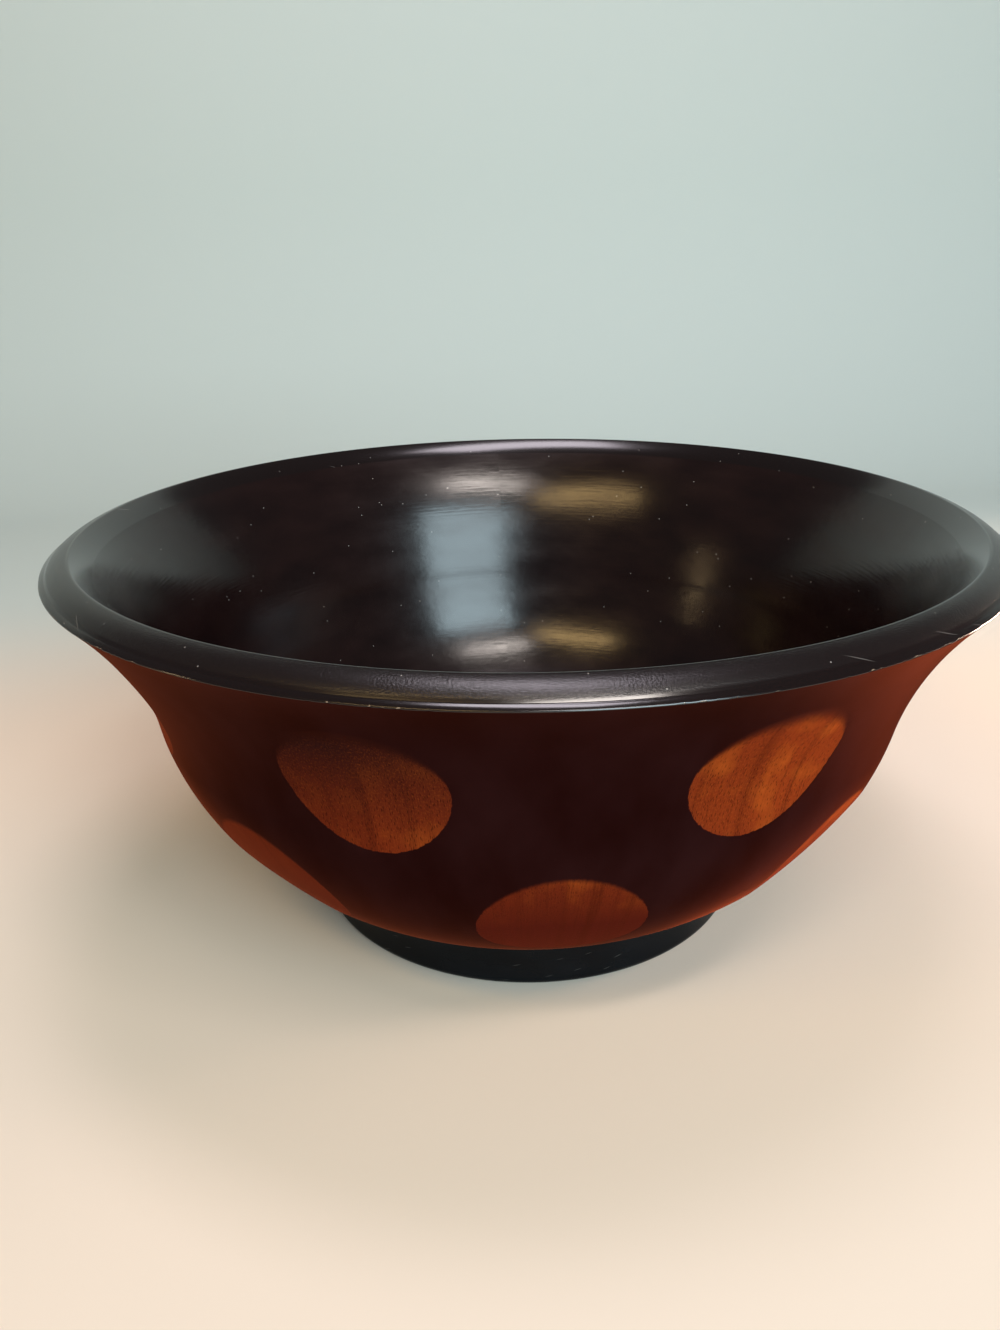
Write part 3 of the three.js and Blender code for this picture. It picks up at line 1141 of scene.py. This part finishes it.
@dataclass(frozen=True)
class Camera:
    """The viewer: distance and height over the floor, and turns fitted to rim, foot and facets."""

    distance: float = 384.5
    height: float = 237.4
    azimuth: float = radians(-4.77)
    pan: float = radians(-1.45)
    pitch: float = radians(21.48)
    roll: float = radians(-1.12)
    focal_pixels: float = 1080.0
    film: float = 36.0
    clip_start: float = 0.01

    def build(self) -> None:
        """Adds the camera: right, up and back from pan, pitch and roll, then a turn to the azimuth."""
        forward = Vector((sin(self.pan) * cos(self.pitch), cos(self.pan) * cos(self.pitch),
                          -sin(self.pitch)))
        level = Vector((cos(self.pan), -sin(self.pan), 0.0))
        upright = level.cross(forward)
        right = cos(self.roll) * level + sin(self.roll) * upright
        up = cos(self.roll) * upright - sin(self.roll) * level
        turn = Matrix.Rotation(self.azimuth, 4, "Z")
        place = Vector((0.0, -self.distance, self.height)) * MM
        basis = Matrix((right, up, -forward)).transposed().to_4x4()
        lens = bpy.data.cameras.new("camera")
        lens.sensor_fit = "HORIZONTAL"
        lens.sensor_width = self.film
        lens.lens = self.film * self.focal_pixels / IMAGE_WIDTH
        lens.clip_start = self.clip_start
        holder = new_object("camera", lens)
        holder.matrix_world = turn @ Matrix.Translation(place) @ basis
        bpy.context.scene.camera = holder


@dataclass(frozen=True)
class Studio:
    """Pale floor that curves up into a pale wall behind the bowl, dim surroundings and soft boxes."""

    floor: str = "#e4d4c4"
    wall: str = "#cdd6d2"
    surround: str = "#c9ced0"
    surround_strength: float = 0.14
    half_width: float = 3.0
    wall_distance: float = 0.92
    wall_height: float = 0.9
    cove: float = 0.3
    cove_steps: int = 24
    turn_from: float = 0.12
    turn_to: float = 0.4
    floor_roughness: float = 0.8
    floor_gloss: float = 0.2
    aim: tuple[float, float, float] = (0.0, 0.1, 0.09)

    def sweep_floor(self) -> None:
        """Floor, cove and wall in one sheet: flat, a quarter circle, upright, with a slow turn of colour."""
        turn = np.linspace(0.0, pi / 2, self.cove_steps)
        line = np.concatenate([[(-self.half_width, 0.0)],
                               np.stack([self.wall_distance - self.cove + self.cove * np.sin(turn),
                                         self.cove - self.cove * np.cos(turn)], -1),
                               [(self.wall_distance, self.wall_height)]])
        width = np.array([-self.half_width, self.half_width])
        across, along = np.meshgrid(width, line[:, 0])
        points = np.stack([across, along, np.repeat(line[:, 1:], 2, 1)], -1)
        index = np.arange(points[..., 0].size).reshape(len(line), 2)
        quads = np.stack([index[:-1, 0], index[:-1, 1], index[1:, 1], index[1:, 0]], -1)
        mesh = bpy.data.meshes.new("floor")
        mesh.from_pydata(points.reshape(-1, 3).tolist(), [], quads.tolist(), shade_flat=False)
        paint = Shading("pale_paper")
        place = paint.add("TexCoord", {}, "Object")
        back = paint.add("SeparateXYZ", {0: place}, 1)
        share = paint.add("MapRange", {0: back, 1: self.turn_from, 2: self.turn_to},
                          interpolation_type="SMOOTHSTEP")
        colour = paint.layered(self.floor, (share, self.wall))
        mesh.materials.append(paint.finish({"Base Color": colour, "Roughness": self.floor_roughness,
                                            "Specular IOR Level": self.floor_gloss}))
        sheet = new_object("floor", mesh)

    def build(self) -> None:
        """Adds floor, surroundings, lights and view settings."""
        self.sweep_floor()
        world = bpy.data.worlds.new("surround")
        world.use_nodes = True
        background = world.node_tree.nodes["Background"]
        background.inputs["Color"].default_value = linear(self.surround)
        background.inputs["Strength"].default_value = self.surround_strength
        scene = bpy.context.scene
        scene.world = world
        scene.view_settings.view_transform = "Standard"
        boxes = (
            SoftBox("ceiling_box", (0.03, 0.05, 1.5), (0.0, 0.0, 0.0), (0.6, 0.32), 6.0, "#faf0fa"),
            SoftBox("window_box", (0.45, -1.25, 0.70), self.aim, (0.75, 1.05), 26.0, "#d4edf6"),
            SoftBox("warm_box", (-0.55, -0.85, 1.28), self.aim, (0.75, 0.14), 4.8, "#ffd690"),
            SoftBox("tube_box", (0.2, -0.75, 1.3), self.aim, (0.54, 0.12), 5.2, "#fff4ec"),
            SoftBox("lamp_box", (-1.25, -0.25, 0.33), self.aim, (0.07, 0.45), 0.9, "#ffd9a0"),
            SoftBox("low_box", (0.8, 0.3, 0.08), self.aim, (0.5, 0.12), 1.8, "#ffd8c0", radians(50)),
        )
        for box in boxes:
            box.build()


def main() -> None:
    """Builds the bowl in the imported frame, then the studio round it."""
    logging.basicConfig(level=logging.INFO, format="%(name)s %(message)s")
    rim_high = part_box("rim_ring")[1]
    stave_low, stave_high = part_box("stave_01")
    foot_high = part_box("foot_ring")[1]
    section = WallSection(rim_radius=rim_high[0] / MM, rim_height=stave_high[2] / MM,
                          foot_height=stave_low[2] / MM)
    rows = (
        FacetRow(height=105.0, diameter=49.5, phase=0.5, top_fade=1.5),
        FacetRow(height=52.5, diameter=51.0, phase=0.0, top_fade=0.5),
    )
    foot = FootRing(radius=foot_high[0] / MM, height=section.foot_height)
    inside = InnerFinish().build()
    StaveWall(section, rows).build(OuterFinish().build(), inside)
    RimRing(section, crest_height=rim_high[2] / MM).build(LipFinish().build())
    BottomDisc(section, foot_bore=foot.bore).build(inside)
    foot.build(FootFinish().build())
    Camera().build()
    Studio().build()


if __name__ == "__main__":
    main()
